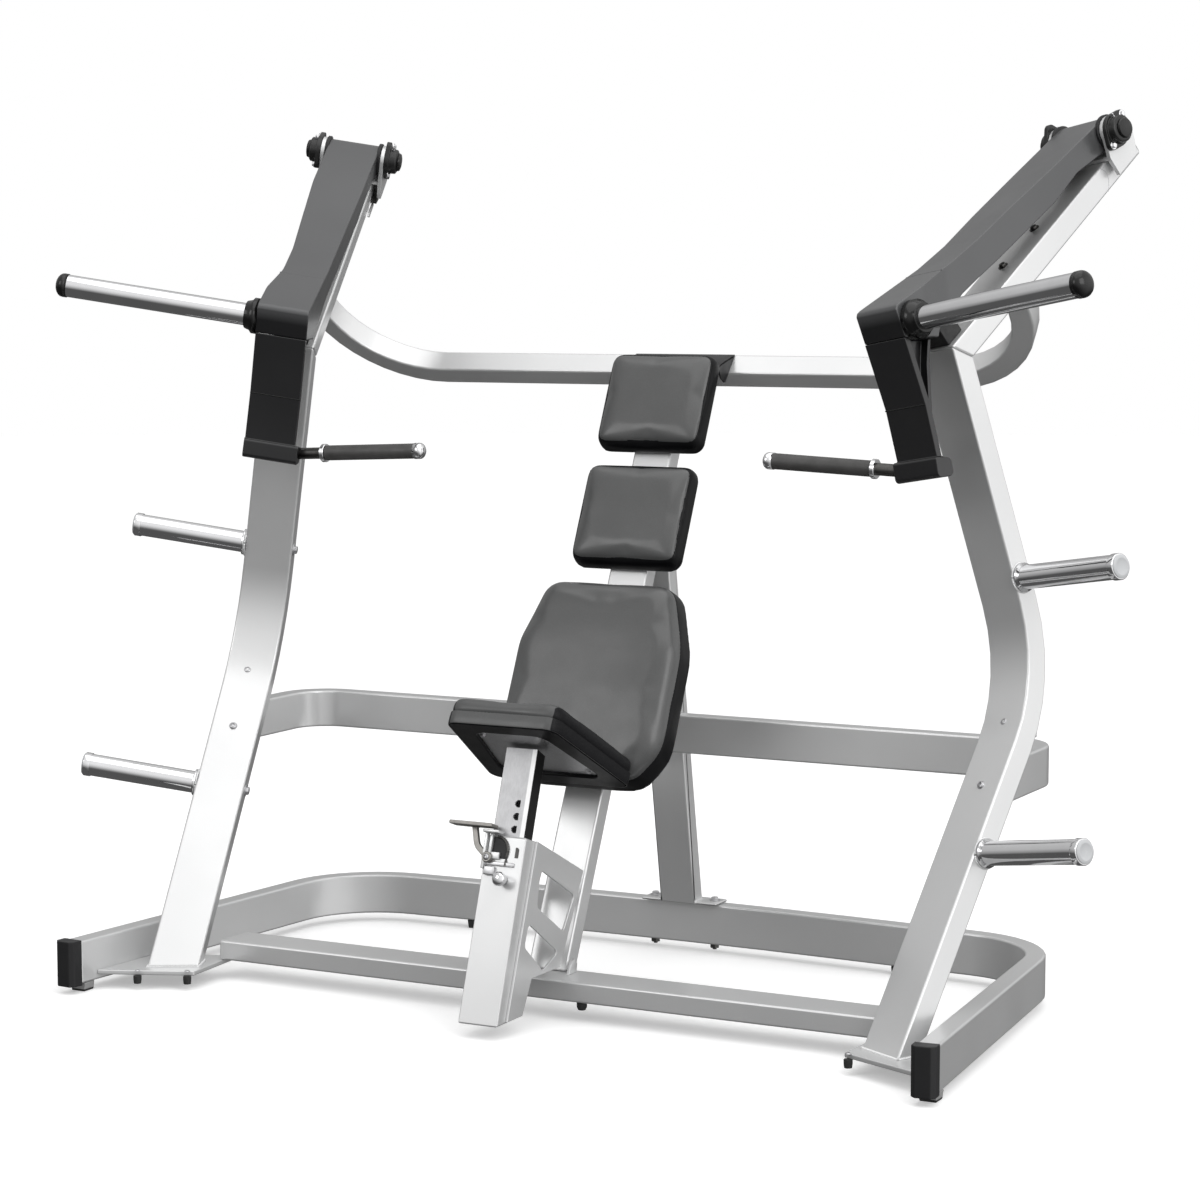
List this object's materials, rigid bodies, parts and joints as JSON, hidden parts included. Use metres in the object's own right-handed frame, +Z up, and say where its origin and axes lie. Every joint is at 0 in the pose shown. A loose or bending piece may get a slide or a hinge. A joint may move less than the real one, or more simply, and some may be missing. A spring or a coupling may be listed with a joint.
{
  "type": "chest press machine",
  "caption": "Plate-loaded chest press: tilted seat and back pads in a tubular frame, with two separate arms that hinge high at the rear and carry handles and weight horns.",
  "frame": {"origin": "on the floor under the middle of the bounding box", "axes": "+Z up, +X to the right seen from the front, +Y to the back; the seated person faces -Y"},
  "size_m": [2.4072, 1.2132, 1.9029],
  "materials": {
    "arm_paint": "satin",
    "black_paint": "satin",
    "black_plastic": "matte",
    "cast_iron": "matte",
    "chrome": "polished",
    "dark_steel": "satin",
    "frame_paint": "satin",
    "gloss_black": "gloss",
    "rubber": "matte",
    "steel": "brushed",
    "upholstery": "satin"
  },
  "bodies": {
    "frame": {"base_frame": "frame_paint", "base_cap_left": "black_plastic", "base_cap_right": "black_plastic", "foot_front_left": "rubber", "foot_front_right": "rubber", "foot_rear_left": "rubber", "foot_rear_right": "rubber", "base_plate_left": "frame_paint", "base_plate_right": "frame_paint", "front_crossbar": "frame_paint", "upright_left": "frame_paint", "upright_right": "frame_paint", "lean_tube_left": "frame_paint", "lean_tube_right": "frame_paint", "mid_crossbar": "frame_paint", "upper_crossbar": "frame_paint", "pivot_bracket_left": "frame_paint", "pivot_bracket_right": "frame_paint", "bearing_left_inner": "cast_iron", "bearing_left_outer": "cast_iron", "bearing_right_inner": "cast_iron", "bearing_right_outer": "cast_iron", "storage_horn_upper_left": "chrome", "storage_horn_lower_left": "chrome", "storage_horn_upper_right": "chrome", "storage_horn_lower_right": "chrome", "arm_stop_left": "rubber", "arm_stop_right": "rubber", "back_rail": "frame_paint", "rear_strut": "frame_paint", "middle_back_pad": "upholstery", "head_pad": "upholstery", "lower_back_pad": "upholstery", "seat_post": "frame_paint", "brace_plate_left": "frame_paint", "brace_plate_right": "frame_paint"},
    "arm_left": {"arm_left": "arm_paint", "arm_drop_left": "black_paint", "pivot_shaft_left": "steel", "horn_collar_left": "gloss_black", "weight_horn_left": "chrome", "horn_cap_left": "gloss_black", "handle_bar_left": "dark_steel", "handle_grip_left": "rubber", "grip_end_left": "chrome"},
    "arm_right": {"arm_right": "arm_paint", "arm_drop_right": "black_paint", "pivot_shaft_right": "steel", "horn_collar_right": "gloss_black", "weight_horn_right": "chrome", "horn_cap_right": "gloss_black", "handle_bar_right": "dark_steel", "handle_grip_right": "rubber", "grip_end_right": "chrome"},
    "seat": {"seat_slide": "steel", "seat_pan": "black_paint", "seat_cushion": "upholstery"},
    "lever": {"adjust_lever": "steel"},
    "pin": {"seat_pin": "chrome"}
  },
  "joints": [
    {"name": "left_press", "type": "hinge", "parent": "frame", "child": "arm_left", "pos_m": [-0.9197, 0.4883, 1.8456], "axis": [-0.9069, -0.3917, 0.1554], "range_deg": [0, 45]},
    {"name": "right_press", "type": "hinge", "parent": "frame", "child": "arm_right", "pos_m": [0.9197, 0.4883, 1.8456], "axis": [-0.9069, 0.3917, -0.1554], "range_deg": [0, 45]},
    {"name": "seat_height", "type": "slide", "parent": "frame", "child": "seat", "axis": [0, 0.3239, 0.9461], "range_m": [-0.108, 0.054]},
    {"name": "lever_swing", "type": "hinge", "parent": "frame", "child": "lever", "pos_m": [-0.034, -0.4272, 0.3557], "axis": [0, -0.9461, 0.3239], "range_deg": [0, 18], "stiffness_Nm_per_rad": 1.5, "springref_deg": -5.73},
    {"name": "pin_pull", "type": "slide", "parent": "frame", "child": "pin", "axis": [0, -0.9461, 0.3239], "range_m": [0, 0.015], "stiffness_N_per_m": 200}
  ],
  "couplings": [
    {"joint": "pin_pull", "follows": "lever_swing", "m_per_rad": 0.0446}
  ]
}
